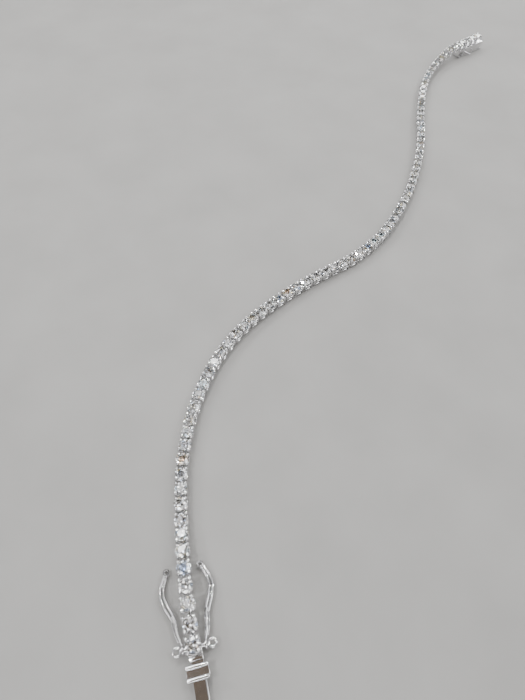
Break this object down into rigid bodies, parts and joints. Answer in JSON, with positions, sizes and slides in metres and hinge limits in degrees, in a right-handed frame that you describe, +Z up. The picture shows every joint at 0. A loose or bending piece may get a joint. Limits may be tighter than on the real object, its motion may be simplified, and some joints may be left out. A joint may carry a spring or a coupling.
{
  "type": "tennis bracelet",
  "caption": "Tennis bracelet of round stones in four-prong settings, unclasped in an S curve, with a box clasp, spring tongue and two safety levers.",
  "frame": {"origin": "centre of the outline, on the surface that the bracelet lies on", "axes": "+Y along the longest extent, from the tongue end to the clasp box end; +Z up, away from the surface; +X to the right, seen from above with +Y ahead"},
  "size_m": [0.0762, 0.1578, 0.0038],
  "materials": {
    "polished_white_gold": "mirror polished, rhodium plated 14 karat white gold",
    "diamond": "clear, round brilliant cut"
  },
  "bodies": {
    "root": {"stone_chain": "polished_white_gold", "clasp_box": "polished_white_gold", "tongue_base": "polished_white_gold"},
    "lever_left": {"safety_lever_left": "polished_white_gold"},
    "lever_right": {"safety_lever_right": "polished_white_gold"},
    "press": {"thumb_press": "polished_white_gold"}
  },
  "joints": [
    {"name": "lever_left_swing", "type": "hinge", "parent": "root", "child": "lever_left", "pos_m": [-0.0329, -0.07092, 0.00105], "axis": [0.9703, 0.2419, 0], "range_deg": [0, 183.6]},
    {"name": "lever_right_swing", "type": "hinge", "parent": "root", "child": "lever_right", "pos_m": [-0.0329, -0.07092, 0.00105], "axis": [0.9703, 0.2419, 0], "range_deg": [0, 183.6]},
    {"name": "press_flex", "type": "hinge", "parent": "root", "child": "press", "pos_m": [-0.031, -0.07854, 0.00078], "axis": [-0.9703, -0.2419, 0], "range_deg": [0, 4.5], "stiffness_Nm_per_rad": 0.02, "springref_deg": -5.73}
  ]
}
